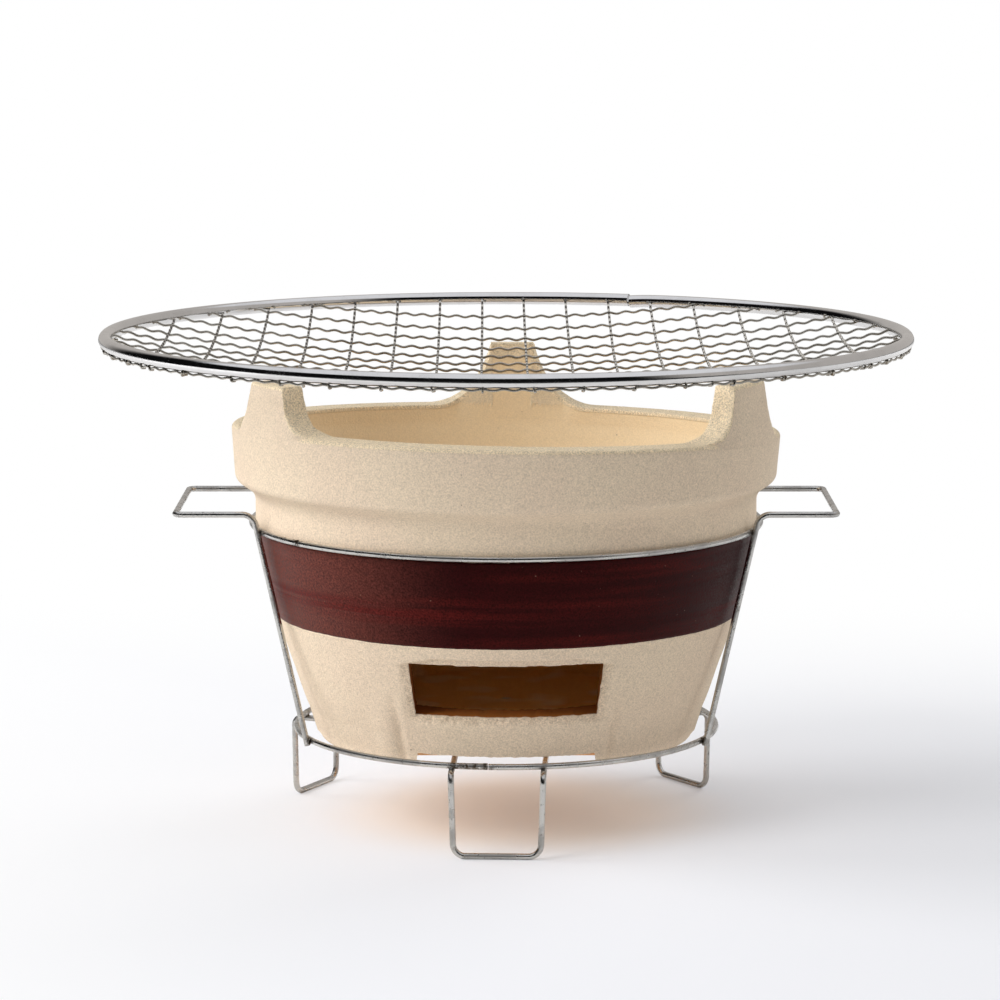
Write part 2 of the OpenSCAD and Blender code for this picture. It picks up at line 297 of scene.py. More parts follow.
skySettings = {"ambient": 0.24, "dark": 0.004, "light": (0.86, 0.86, 0.88),
               "bandLow": -0.45, "lowEdge": 0.04, "bandHigh": 0.67, "highEdge": 0.05,
               "side": (-0.75, -0.66, 0.0), "sideLow": -0.3, "sideHigh": 0.1, "aside": (0.52, 0.49, 0.46)}


# The world is white to the camera. To metal it is a white room with a band round it, which is dark in front
# and to the left, and grey behind and to the right
def makeSky(s):
    world = bpy.data.worlds.new("studio")
    scene.world = world
    world.use_nodes = True
    tree = world.node_tree
    tree.nodes.clear()
    path = addNode(tree, "LightPath")
    way = addNode(tree, "TexCoord").outputs["Generated"]
    height = axesOf(tree, way)["Z"]
    above = remap(tree, height, s["bandHigh"] - s["highEdge"], s["bandHigh"] + s["highEdge"])
    below = remap(tree, height, s["bandLow"] + s["lowEdge"], s["bandLow"] - s["lowEdge"])
    facing = addNode(tree, "VectorMath", {0: way, 1: s["side"]}, operation="DOT_PRODUCT").outputs["Value"]
    aside = remap(tree, facing, s["sideHigh"], s["sideLow"])
    band = mixColour(tree, aside, (s["dark"],) * 3, s["aside"])
    room = mixColour(tree, largest(tree, above, below), band, s["light"])
    shown = mixColour(tree, path.outputs["Is Glossy Ray"], (s["ambient"],) * 3, room)
    seen = mixColour(tree, path.outputs["Is Camera Ray"], shown, (1, 1, 1))
    light = addNode(tree, "Background", {"Color": seen, "Strength": 1.0})
    tree.links.new(light.outputs[0], addNode(tree, "OutputWorld").inputs["Surface"])


floorSettings = {
    "half": 3.0, "colour": (0.95, 0.94, 0.93), "shown": (0.655, 0.655, 0.675), "lift": (0.270, 0.275, 0.290),
    "near": 0.06, "far": 0.42, "whiteFrom": (0.6, 1.0), "left": -0.22, "leftShare": 0.8,
    # the warm colours are painted bounce light under the pot, and dim is a painted shadow there
    "warm": (0.639, 0.593, 0.546), "warmLift": (0.254, 0.236, 0.221), "warmPlace": (0.006, -0.005, 0.0),
    "warmNear": 0.034, "warmFar": 0.078, "dim": 0.83, "dimPlace": (0.038, -0.005, 0.0), "dimNear": 0.018,
    "dimFar": 0.08, "tableEnd": (0.03, 0.03, 0.03), "endNear": 0.36, "endFar": 0.5}


def makeFloor(s):
    half = s["half"] / mm
    corners = [(-half, -half, 0), (half, -half, 0), (half, half, 0), (-half, half, 0)]
    floor = makeObject("floor", corners, [(0, 1, 2, 3)])
    paint = bpy.data.materials.new("floor_paint")
    paint.use_nodes = True
    tree = paint.node_tree
    tree.nodes.clear()
    path = addNode(tree, "LightPath")
    seen = path.outputs["Is Camera Ray"]
    place = objectPlace(tree)
    axes = axesOf(tree, place)

    # painted bounce light and painted shadow: a warm tint under the pot for the light the clay throws there,
    # and a painted shadow there that is deeper to the right
    warm = remap(tree, distanceTo(tree, place, s["warmPlace"]), s["warmFar"], s["warmNear"])
    dim = remap(tree, distanceTo(tree, place, s["dimPlace"]), s["dimFar"], s["dimNear"], 1.0, s["dim"])
    shown = scaled(tree, mixColour(tree, warm, s["shown"], s["warm"]), dim)
    lifted = scaled(tree, mixColour(tree, warm, s["lift"], s["warmLift"]), dim)
    matt = addNode(tree, "BsdfDiffuse", {"Color": mixColour(tree, seen, s["colour"], shown)})
    lift = addNode(tree, "Emission", {"Color": lifted, "Strength": seen})
    shader = addNode(tree, "AddShader", {0: matt.outputs[0], 1: lift.outputs[0]})

    # to the camera the floor turns white behind the brazier and far away, and to its left, where the white is
    # painted light from the lamps on that side
    behind = remap(tree, axes["Y"], s["near"], s["far"])
    left = remap(tree, axes["X"], 0.0, s["left"], 0.0, s["leftShare"])
    distant = remap(tree, distanceTo(tree, place, (0, 0, 0)), *s["whiteFrom"])
    white = addNode(tree, "Emission", {"Color": (1, 1, 1, 1), "Strength": 1.0})
    share = times(tree, largest(tree, behind, left, distant), seen)
    shader = addNode(tree, "MixShader", {0: share, 1: shader.outputs[0], 2: white.outputs[0]})

    # to metal the table ends a little in front of the brazier
    dark = addNode(tree, "BsdfDiffuse", {"Color": (*s["tableEnd"], 1)})
    ended = times(tree, remap(tree, axes["Y"], -s["endNear"], -s["endFar"]), path.outputs["Is Glossy Ray"])
    shader = addNode(tree, "MixShader", {0: ended, 1: shader.outputs[0], 2: dark.outputs[0]})
    tree.links.new(shader.outputs[0], addNode(tree, "OutputMaterial").inputs["Surface"])
    floor.data.materials.append(paint)


makeCamera(cameraSettings)
makeLamps(lampSettings)
makeSky(skySettings)
makeFloor(floorSettings)
print("camera, lamps, sky and floor made")


# ---- places on the stand that were welded ----

# Lengths in millimetres and angles in degrees. The rings have the weight of their welds. A bead has its three
# half sizes, and a burn its reach; the lower ring's joint has several burns, each at an angle from the joint
stand = {
    "wire": 2.0, "touch": 0.93, "upright": 30.0, "uprightOut": 1.85, "legAngles": (267.7, 33.5, 153.5),
    "legHalf": 14.8, "rings": {"stand_upper_ring": 0.8, "stand_lower_ring": 1.0},
    "bead": (0.62, 0.95, 0.55), "beadGap": 0.62, "burn": 2.6, "legBead": (0.5, 0.8, 0.5), "legBeadGap": 0.55,
    "legBurn": 2.2, "lowerJoint": 265.3, "lowerBurns": ((0.3, 3.2), (3.0, 3.4), (5.8, 3.6), (8.6, 3.2)),
    "upperJoint": 218.0, "upperBurn": 3.0, "burnCore": 0.35}


# The radius and the height of a ring's middle line
def ringOf(node):
    low, high = (np.array(v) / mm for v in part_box(node))
    return (high[0] - low[0] - stand["wire"]) / 2, (low[2] + high[2]) / 2


def weldPlaces(s):
    beads, burns = [], []
    for node, weight in s["rings"].items():
        radius, height = ringOf(node)
        turn = math.asin(s["upright"] / (radius + s["uprightOut"]))
        size = (*s["bead"][:2], s["bead"][2] * weight)
        for angle in (turn, math.pi - turn, math.pi + turn, -turn):
            spot = ringPoints(radius + s["touch"], height, angle)
            beads += [(spot + vertical * side * s["beadGap"], angle, size) for side in (1, -1)]
            burns.append((spot, s["burn"] * weight))
    radius, height = ringOf("stand_lower_ring")
    half = math.asin(s["legHalf"] / radius)
    for angle in s["legAngles"]:
        for side in (1, -1):
            turn = math.radians(angle) + side * half
            spot = ringPoints(radius, height - s["touch"], turn)
            out = ringPoints(s["legBeadGap"], 0.0, turn)
            beads += [(spot + out, turn, s["legBead"]), (spot - out, turn, s["legBead"])]
            burns.append((spot, s["legBurn"]))
    for angle, reach in s["lowerBurns"]:
        burns.append((ringPoints(radius, height, math.radians(s["lowerJoint"] - angle)), reach))
    burns.append((ringPoints(*ringOf("stand_upper_ring"), math.radians(s["upperJoint"])), s["upperBurn"]))
    return beads, burns


weldBeads, weldBurns = weldPlaces(stand)


# ---- materials ----

# A shader node group with named inputs and outputs
def newGroup(name, inputs, outputs):
    group = bpy.data.node_groups.new(name, "ShaderNodeTree")
    for label, value in inputs.items():
        kind = "NodeSocketColor" if isinstance(value, tuple) else "NodeSocketFloat"
        socket = group.interface.new_socket(label, in_out="INPUT", socket_type=kind)
        socket.default_value = (*value, 1) if isinstance(value, tuple) else value
    for label, kind in outputs.items():
        group.interface.new_socket(label, in_out="OUTPUT", socket_type="NodeSocket" + kind)
    return group, group.nodes.new("NodeGroupInput").outputs, group.nodes.new("NodeGroupOutput").inputs


def placeGroup(tree, group, **values):
    node = tree.nodes.new("ShaderNodeGroup")
    node.node_tree = group
    for label, value in values.items():
        if isinstance(value, bpy.types.NodeSocket):
            tree.links.new(value, node.inputs[label])
        else:
            node.inputs[label].default_value = (*value, 1) if isinstance(value, tuple) else value
    return node.outputs


# In the dictionaries below a noise has its scale, detail and roughness, and a mask made from a noise has
# after these the two levels that it runs between
def noise(tree, place, scale, detail=2.0, rough=0.5):
    return addNode(tree, "TexNoise", {"Vector": place, "Scale": scale, "Detail": detail,
                                      "Roughness": rough}).outputs["Fac"]


def noiseMask(tree, place, scale, detail, rough, low, high):
    return remap(tree, noise(tree, place, scale, detail, rough), low, high)


# How far a noise is above or below its middle, times an amount
def sway(tree, value, amount):
    return times(tree, minus(tree, value, 0.5), amount)


grainMarks = {
    "broad": (26, 3, 0.5, 0.38, 0.66), "fine": (1900, 1, 0.6), "fineTone": 1.3, "fineHeight": 0.45,
    "sand": (620, 3, 0.65), "sandTone": 0.35, "sandHeight": 0.9, "poreScale": 360.0, "poreFrom": 0.93,
    "poreEdge": (0.05, 0.13), "poreTone": 0.7, "poreDepth": 1.1}


# Fired clay: sandy grain, broad warm patches and small dark pores
def makeClayGrain(s):
    group, given, result = newGroup(
        "clay_grain", {"Clay": (0.8, 0.7, 0.5), "Patch": (0.8, 0.6, 0.5), "Pore": (0.2, 0.15, 0.1),
                       "Patches": 0.5, "Grain": 0.5, "Pores": 0.5},
        {"Colour": "Color", "Height": "Float", "Pore mask": "Float"})
    place = objectPlace(group)
    broad = noiseMask(group, place, *s["broad"])
    fine, sand = noise(group, place, *s["fine"]), noise(group, place, *s["sand"])
    spots = addNode(group, "TexVoronoi", {"Vector": place, "Scale": s["poreScale"]}).outputs
    tone = addNode(group, "SeparateColor", {0: spots["Color"]}).outputs
    chosen = times(group, calculate(group, "GREATER_THAN", tone[0], s["poreFrom"]), tone[1])
    near = remap(group, spots["Distance"], *s["poreEdge"], 1.0, 0.0)
    pore = times(group, near, chosen, given["Pores"])
    colour = mixColour(group, times(group, broad, given["Patches"]), given["Clay"], given["Patch"])
    shade = plus(group, sway(group, fine, s["fineTone"]), sway(group, sand, s["sandTone"]))
    colour = scaled(group, colour, plus(group, 1.0, times(group, shade, given["Grain"])))
    colour = mixColour(group, times(group, pore, s["poreTone"]), colour, given["Pore"])
    height = plus(group, times(group, fine, s["fineHeight"]), times(group, sand, s["sandHeight"]))
    height = minus(group, height, times(group, pore, s["poreDepth"]))
    group.links.new(colour, result["Colour"])
    group.links.new(height, result["Height"])
    group.links.new(pore, result["Pore mask"])
    return group


filmMarks = {"cloud": (90, 4, 0.6, 0.4, 0.68), "fleck": (620, 3, 0.7, 0.60, 0.70),
             "mottle": (520, 3, 0.7, 0.34, 0.58), "relief": (900, 2), "spotRough": 0.3}


# Drawn steel: a cloudy grey film, small dark spots, and mottled burns where it was heated
def makeSteelFilm(s):
    group, given, result = newGroup(
        "steel_film", {"Steel": (0.6, 0.6, 0.6), "Film": (0.4, 0.4, 0.4), "Spot": (0.1, 0.08, 0.06),
                       "Film amount": 0.5, "Spots": 0.3, "Gloss": 0.2, "Dull": 0.4, "Size": 1.0, "Heat": 0.0},
        {"Colour": "Color", "Roughness": "Float", "Height": "Float"})
    place = scaled(group, objectPlace(group), given["Size"])
    cloud = noiseMask(group, place, *s["cloud"])
    film = times(group, cloud, given["Film amount"])
    spot = times(group, noiseMask(group, place, *s["fleck"]), given["Spots"])
    ventShadeColour = times(group, given["Heat"], noiseMask(group, place, *s["mottle"]))
    colour = mixColour(group, spot, mixColour(group, film, given["Steel"], given["Film"]), given["Spot"])
    colour = mixColour(group, ventShadeColour, colour, given["Spot"])
    rough = plus(group, given["Gloss"], times(group, minus(group, given["Dull"], given["Gloss"]), cloud))
    rough = plus(group, rough, times(group, largest(group, spot, ventShadeColour), s["spotRough"]), clamp=True)
    group.links.new(colour, result["Colour"])
    group.links.new(rough, result["Roughness"])
    group.links.new(noise(group, place, *s["relief"]), result["Height"])
    return group


clayGrain = makeClayGrain(grainMarks)
steelFilm = makeSteelFilm(filmMarks)


def newMaterial(name, **fixed):
    material = bpy.data.materials.new(name)
    material.use_nodes = True
    tree = material.node_tree
    shader = tree.nodes["Principled BSDF"]
    for label, value in fixed.items():
        shader.inputs[label.replace("_", " ")].default_value = value
    return material, tree, shader


def addBump(tree, shader, height, distance):
    bump = addNode(tree, "Bump", {"Height": height, "Distance": distance, "Strength": 1.0})
    tree.links.new(bump.outputs[0], shader.inputs["Normal"])


# Places and reaches are in metres. The skin is the wall's radius at the table's height, and how much it grows
# with height
clayPaint = {
    "clay": (0.755, 0.625, 0.475), "patch": (0.735, 0.59, 0.455), "pore": (0.16, 0.105, 0.07),
    # the sandy colour is partly painted light on the cut faces and tops, and the darker colour of the border
    # round the vent is partly painted shade in that recess
    "sand": (0.84, 0.70, 0.50), "roughAndShaded": (0.60, 0.48, 0.35), "under": (0.86, 0.52, 0.27),
    # the dark colour of the vent's walls is painted shade
    "ventShadeColour": (0.34, 0.12, 0.025), "chamber": (0.92, 0.735, 0.485), "ash": (0.97, 0.50, 0.14),
    # the chambers' colours are painted brighter than the clay, and the lower chamber has brighter patches, as
    # painted light inside the pot
    "lightPatches": (0.98, 0.62, 0.30), "specular": 0.2, "patches": 0.55, "pores": 0.8, "grain": 0.55,
    "cutGrain": 0.5, "innerSmooth": 0.6, "rough": 0.78, "poreRough": 0.2, "relief": 0.0002, "cutRelief": 1.3,
    "ashTop": 0.072, "ashFade": 0.008, "lightPatchMask": (60, 1, 0.5, 0.5, 0.68), "underHeight": (0.0315, 0.030),
    "underReach": (0.0619, 0.0613), "ventSide": 0.032, "ventLow": 0.0436, "ventHigh": 0.0636,
    "ventFront": -0.045, "skin": (0.0522, 0.338), "ragged": (700, 3, 0.7), "raggedDepth": 0.0022,
    "ventShadeDepth": (0.0004, 0.0016)}


# Painted shade on the vent's own walls: they are darker up to a ragged line near the outer face
def ventShadeMask(tree, place, axes, away, s):
    height = axes["Z"]
    depth = minus(tree, plus(tree, times(tree, height, s["skin"][1]), s["skin"][0]), away)
    depth = plus(tree, depth, sway(tree, noise(tree, place, *s["ragged"]), s["raggedDepth"]))
    beside = calculate(tree, "ABSOLUTE", axes["X"])
    return times(tree, remap(tree, depth, *s["ventShadeDepth"]),
                 calculate(tree, "LESS_THAN", axes["Y"], s["ventFront"]),
                 calculate(tree, "LESS_THAN", beside, s["ventSide"]),
                 calculate(tree, "GREATER_THAN", height, s["ventLow"]),
                 calculate(tree, "LESS_THAN", height, s["ventHigh"]))


# The pot's own masks: sand where the clay was cut and on the tops, painted lighter partly as painted light;
# the rough border round the vent, painted darker partly as painted shade; and inside for the chambers
def makePotClay(s):
    material, tree, shader = newMaterial("clay", Specular_IOR_Level=s["specular"])
    sand, roughAndShaded, inside = (addNode(tree, "Attribute", attribute_name=name).outputs["Fac"]
                          for name in ("sand", "roughAndShaded", "inside"))
    place = objectPlace(tree)
    axes = axesOf(tree, place)
    height = axes["Z"]
    flat = addNode(tree, "CombineXYZ", {"X": axes["X"], "Y": axes["Y"]}).outputs[0]
    away = distanceTo(tree, flat, (0, 0, 0))

    # painted light inside the pot: the chambers are painted yellow, brighter than the clay, and orange lower
    # down, partly the lower chamber's own colour and partly painted light, with brighter patches of painted
    # light; the underside is warmer than the wall
    ash = mixColour(tree, noiseMask(tree, place, *s["lightPatchMask"]), s["ash"], s["lightPatches"])
    inner = mixColour(tree, remap(tree, height, s["ashTop"], s["ashTop"] - s["ashFade"]), s["chamber"], ash)
    under = times(tree, remap(tree, height, *s["underHeight"]), remap(tree, away, *s["underReach"]))
    # sandy places lighter, partly as painted light, and the border round the vent darker, partly as painted
    # shade
    clay = mixColour(tree, sand, mixColour(tree, inside, s["clay"], inner), s["sand"])
    clay = mixColour(tree, under, mixColour(tree, roughAndShaded, clay, s["roughAndShaded"]), s["under"])
    patch = mixColour(tree, under, mixColour(tree, inside, s["patch"], inner), s["under"])
    patch = mixColour(tree, sand, patch, s["sand"])

    cut = largest(tree, sand, roughAndShaded)
    grain = plus(tree, s["grain"], times(tree, cut, s["cutGrain"]))
    grain = times(tree, grain, minus(tree, 1.0, times(tree, inside, s["innerSmooth"])))
    out = placeGroup(tree, clayGrain, Clay=clay, Patch=patch, Pore=s["pore"], Patches=s["patches"],
                     Grain=grain, Pores=s["pores"])
    # painted shade on the vent's own walls
    ventShade = times(tree, ventShadeMask(tree, place, axes, away, s), minus(tree, 1.0, inside))
    tree.links.new(mixColour(tree, ventShade, out["Colour"], s["ventShadeColour"]), shader.inputs["Base Color"])
    rough = plus(tree, s["rough"], times(tree, out["Pore mask"], s["poreRough"]), clamp=True)
    tree.links.new(rough, shader.inputs["Roughness"])
    relief = plus(tree, 1.0, times(tree, cut, s["cutRelief"]))
    addBump(tree, shader, times(tree, out["Height"], relief), s["relief"])
    return material


gratePaint = {"clay": (0.66, 0.53, 0.38), "specular": 0.25, "rough": 0.85, "grain": 0.8, "pores": 1.0,
              "relief": 0.00022}


def makeGrateClay(s):
    material, tree, shader = newMaterial("grate_clay", Specular_IOR_Level=s["specular"], Roughness=s["rough"])
    out = placeGroup(tree, clayGrain, Clay=s["clay"], Patch=clayPaint["patch"], Pore=clayPaint["pore"],
                     Patches=clayPaint["patches"], Grain=s["grain"], Pores=s["pores"])
    tree.links.new(out["Colour"], shader.inputs["Base Color"])
    addBump(tree, shader, out["Height"], s["relief"])
    return material


# Brush marks have how much the noise is squeezed along the band, across it and up it, and then its detail
# and roughness. The line is a red brush mark low on the band, with the heights where it starts and ends
slipPaint = {
    "dark": (0.016, 0.0010, 0.0018), "red": (0.075, 0.006, 0.005), "bare": (0.42, 0.28, 0.2),
    # the band's colour towards the left is a painted sheen
    "sheen": (1.0, 0.30, 0.26), "paintedSheen": (0.112, 0.031, 0.023), "line": (0.085, 0.007, 0.006),
    "specular": 0.19, "radius": 0.08, "streaks": ((14.0, 1.0, 420.0), 4, 0.6), "wide": ((9.0, 1.0, 110.0), 2),
    "grain": (1700, 1, 0.6), "wideRed": (0.42, 0.7), "streakRed": (0.3, 0.7), "paintedSheenFrom": -0.012,
    "paintedSheenTo": -0.066, "lineLow": (0.074, 0.079), "lineHigh": (0.085, 0.081),
    "lineLeft": (0.03, -0.05, 0.15, 0.8), "lineStreak": (0.35, 0.6),
    "grainTone": 2.6, "grainDrop": 0.35, "darkest": 0.05,
    "speck": (700, 2, 0.6, 0.73, 0.77), "speckTone": 0.25, "rough": 0.15, "streakRough": 0.24,
    "grainRough": 0.5, "grainHeight": 0.6, "relief": 0.00009}


def brushMarks(tree, around, squeeze, detail, rough=0.5):
    squeezed = addNode(tree, "Mapping", {"Vector": around, "Scale": squeeze}).outputs[0]
    return noise(tree, squeezed, 1.0, detail, rough)


# Dark slip, brushed round the pot: redder in streaks, lighter and redder towards the left as a painted sheen,
# with a few bare specks
def makeSlip(s):
    material, tree, shader = newMaterial("band_slip", Specular_IOR_Level=s["specular"],
                                         Specular_Tint=(*s["sheen"], 1))
    place = objectPlace(tree)
    axes = axesOf(tree, place)
    turn = calculate(tree, "ARCTAN2", axes["Y"], axes["X"])
    around = addNode(tree, "CombineXYZ", {"X": times(tree, turn, s["radius"]), "Z": axes["Z"]}).outputs[0]
    streaks = brushMarks(tree, around, *s["streaks"])
    wide = brushMarks(tree, around, *s["wide"])
    grain = noise(tree, place, *s["grain"])

    redness = times(tree, remap(tree, wide, *s["wideRed"]), remap(tree, streaks, *s["streakRed"]))
    # painted sheen: the band is lighter and redder towards the left, where the light comes from
    paintedSheen = remap(tree, axes["X"], s["paintedSheenFrom"], s["paintedSheenTo"])
    dark, red = (mixColour(tree, paintedSheen, s[name], s["paintedSheen"]) for name in ("dark", "red"))
    line = times(tree, remap(tree, axes["Z"], *s["lineLow"]), remap(tree, axes["Z"], *s["lineHigh"]),
                 remap(tree, axes["X"], *s["lineLeft"]), remap(tree, streaks, *s["lineStreak"]))
    colour = mixColour(tree, line, mixColour(tree, redness, dark, red), s["line"])
    tone = minus(tree, times(tree, grain, s["grainTone"]), s["grainDrop"])
    colour = scaled(tree, colour, largest(tree, tone, s["darkest"]))
    speck = times(tree, noiseMask(tree, place, *s["speck"]), s["speckTone"])
    tree.links.new(mixColour(tree, speck, colour, s["bare"]), shader.inputs["Base Color"])

    rough = plus(tree, s["rough"], times(tree, streaks, s["streakRough"]))
    rough = plus(tree, rough, times(tree, grain, s["grainRough"]), clamp=True)
    tree.links.new(rough, shader.inputs["Roughness"])
    addBump(tree, shader, plus(tree, streaks, times(tree, grain, s["grainHeight"])), s["relief"])
    return material


# Darker round the welds; each burn has its place and its reach in millimetres
def heatMask(tree, burns):
    place = objectPlace(tree)
    marks = []
    for spot, reach in burns:
        away = distanceTo(tree, place, tuple(spot * mm))
        marks.append(remap(tree, away, reach * mm, reach * stand["burnCore"] * mm))
    return largest(tree, *marks)


# Painted shade in the hollows and painted highlights on the crests of the crimped wires that run along Y,
# where every second wire is half a wave later
def crimpGlintMask(tree, s):
    axes = axesOf(tree, objectPlace(tree))
    turn = 2 * math.pi * s["crimps"] / (s["pitch"] * mm)
    along = calculate(tree, "COSINE", times(tree, minus(tree, axes["Y"], s["shift"][1] * mm), turn))
    turn = math.pi / (s["pitch"] * mm)
    first = s["shift"][0] - (s["along"] - 1) / 2 * s["pitch"]
    beside = calculate(tree, "COSINE", times(tree, minus(tree, axes["X"], first * mm), turn))
    return remap(tree, times(tree, along, beside), *s["hollowEdge"])


def makeSteel(name, relief, values, burns=None, crimp=None):
    material, tree, shader = newMaterial(name, Metallic=1.0)
    if burns:
        values = {**values, "Heat": heatMask(tree, burns)}
    out = placeGroup(tree, steelFilm, **values)
    colour = out["Colour"]
    if crimp:
        # painted highlights on the crests, which are also less metallic, and painted shade in the hollows
        hollow = crimpGlintMask(tree, crimp)
        colour = mixColour(tree, hollow, crimp["crest"], crimp["hollow"])
        metal = remap(tree, hollow, 0.0, crimp["metalTo"], crimp["crestMetal"], 1.0)
        tree.links.new(metal, shader.inputs["Metallic"])
    tree.links.new(colour, shader.inputs["Base Color"])
    tree.links.new(out["Roughness"], shader.inputs["Roughness"])
    addBump(tree, shader, out["Height"], relief)
    return material


standSteel = {"Steel": (0.58, 0.58, 0.57), "Film": (0.38, 0.375, 0.37), "Spot": (0.10, 0.08, 0.06),
              "Film amount": 0.7, "Spots": 0.55, "Gloss": 0.2, "Dull": 0.42}
rimSteel = {"Steel": (0.72, 0.72, 0.73), "Film": (0.6, 0.6, 0.6), "Spot": (0.2, 0.17, 0.13),
            "Film amount": 0.35, "Spots": 0.12, "Gloss": 0.08, "Dull": 0.2}
netSteel = {"Steel": (0.45, 0.43, 0.39), "Film": (0.25, 0.225, 0.185), "Spot": (0.06, 0.045, 0.025),
            "Film amount": 0.75, "Spots": 0.5, "Gloss": 0.14, "Dull": 0.3, "Size": 1.4}

clayMaterial = makePotClay(clayPaint)
grateMaterial = makeGrateClay(gratePaint)
slipMaterial = makeSlip(slipPaint)
standMaterial = makeSteel("stand_steel", 0.00004, standSteel, burns=weldBurns)
rimMaterial = makeSteel("rim_steel", 0.000008, rimSteel)
netMaterial = makeSteel("net_steel", 0.00003, netSteel)
print("materials made")


# ---- net ----

# Millimetres, but for the turn in degrees. The wires along Y are counted, and the others lie within the edge
net = {
    "wire": 0.86, "pitch": 15.25, "along": 16, "edge": 8, "shift": (-0.4, 4.25), "turn": 0.4, "crimps": 2.5,
    "rise": 0.32, "step": 0.5, "sides": 8, "bendLength": 47, "bend": 0.25, "layerGap": 0.05,
    "rimMiddle": 132.75, "rimTube": 2.25, "reach": 132.9, "dish": 11.2, "lift": 2.9, "liftFrom": 60.0,
    "liftPower": 1.6, "blend": 0.25, "hide": 1.1}
hem = {"radius": 133.6, "drop": 2.62, "rearDrop": 1.0, "rearFrom": (0.1, 0.55), "wire": 0.76, "waves": 138,
       "rise": 0.22, "sway": 0.12, "steps": 2760, "uneven": (9, 1.2, 61)}
hook = {"wire": 0.78, "down": (0.3, 0.9), "lean": 1.1, "curl": (0.5, 1.2), "rearFrom": 25, "step": 0.3}

# The solids' wires that the woven ones stand for
solidWires = {"along": 16, "across": 17}

# painted highlights on the crimped wires' crests and painted shade in their hollows
crimpGlintPaint = {"crest": (0.66, 0.64, 0.60), "hollow": (0.10, 0.09, 0.08), "hollowEdge": (0.55, -0.3),
              "crestMetal": 0.55, "metalTo": 0.6}
alongMaterial = makeSteel("net_steel_along", 0.00003, netSteel, crimp={**net, **crimpGlintPaint})

rimLow, rimHigh = (np.array(v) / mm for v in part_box("net_rim"))
rimHeight = (rimLow[2] + rimHigh[2]) / 2
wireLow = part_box("net_wire_across_9")[0][2] / mm
dishRound = (net["rimMiddle"] ** 2 + net["dish"] ** 2) / (2 * net["dish"])
dishLow = wireLow + net["wire"] + net["layerGap"] / 2  # height of the dish's middle


# The dish turns up into the rim, and in front it stays above the line of sight under the rim
def dishHeight(x, y):
    away = np.sqrt(x * x + y * y)
    share = np.clip((away - net["liftFrom"]) / (net["rimMiddle"] - net["liftFrom"]), 0, 1)
    bowl = dishLow + dishRound - np.sqrt(dishRound ** 2 - away ** 2) + net["lift"] * share ** net["liftPower"]
    rimOut = net["rimMiddle"] + net["rimTube"]
    place = cameraSettings["place"]
    slope = (place[2] / mm - rimHeight) / (-place[1] / mm - rimOut)
    front = -np.sqrt(np.maximum(rimOut ** 2 - x * x, 0))
    sight = rimHeight - net["rimTube"] + net["hide"] - slope * (y - front)
    return bowl + np.log1p(np.exp(np.clip((sight - bowl) / net["blend"], -30, 30))) * net["blend"]


# One crimped wire, woven over and under the wires that cross it: along Y at X = offset, or along X at
# Y = offset. It bends a little sideways, by a share and from a place that are drawn at random
def crimpedWire(offset, crossing, sign, draw, across=False):
    share, start = draw.uniform(-1, 1, 2) * (1, 3)
    half = math.sqrt(net["reach"] ** 2 - offset ** 2)
    y = np.arange(-half, half + 0.01, net["step"])
    x = offset + share * np.sin(y / net["bendLength"] + start) * net["bend"]
    wave = np.cos((y - crossing) / net["pitch"] * net["crimps"] * 2 * math.pi) * sign
    place = (y, x) if across else (x, y)
    return turned(np.stack([*place, dishHeight(*place) + wave * net["rise"]], 1), net["turn"])


def makeNet():
    draw = np.random.default_rng(11)
    pitch, (shiftX, shiftY) = net["pitch"], net["shift"]
    paths = {"along": [], "across": []}
    for i in range(net["along"]):
        offset = (i - (net["along"] - 1) / 2) * pitch + shiftX
        paths["along"].append(crimpedWire(offset, shiftY, (-1) ** i, draw))
    most = int(net["reach"] / pitch)
    for j in range(-most, most + 1):
        offset = j * pitch + shiftY
        if abs(offset) <= net["reach"] - net["edge"]:
            paths["across"].append(crimpedWire(offset, pitch / 2 + shiftX, -((-1) ** j), draw, across=True))
    for name, material in (("along", alongMaterial), ("across", netMaterial)):
        verts, faces = tubes(paths[name], net["wire"] / 2, net["sides"])
        nodes = [f"net_wire_{name}_{k + 1}" for k in range(solidWires[name])]
        makeObject("net_wires_" + name, verts, faces, "net", nodes, material)
    return paths["along"] + paths["across"]


# Every wire end is bent over the hem wire: turned down and under in front, and curled along the rim behind
def hookPath(end, draw):
    turn = math.atan2(end[1], end[0])
    out, along = ringPoints(1.0, 0.0, turn), ringPoints(1.0, 0.0, turn + math.pi / 2)
    lean = draw.uniform(-1, 1) * hook["lean"]
    if end[1] > hook["rearFrom"]:
        curl = draw.uniform(*hook["curl"]) * draw.choice((-1, 1))
        stub = end - out * 2.3 - vertical * draw.uniform(*hook["down"]) + along * curl
        return roundedLine([end - out * 3.0 - vertical * 0.1, end - out * 2.2, stub], [0.2], hook["step"])
    down = draw.uniform(*hook["down"])
    path = [end - out * 1.5]
    hemHeight = rimHeight - hem["drop"]
    # how far each bend lies outside the hem wire, its share of the lean, and its height above the hem wire
    for away, share, up in ((0.35, 0.1, 0.5), (0.25, 0.5, -down), (-1.1, 1.0, -down * 0.7 - 0.2)):
        path.append(out * (hem["radius"] + away) + along * lean * share + vertical * (hemHeight + up))
    return roundedLine(path, [0.5, 0.5], hook["step"])


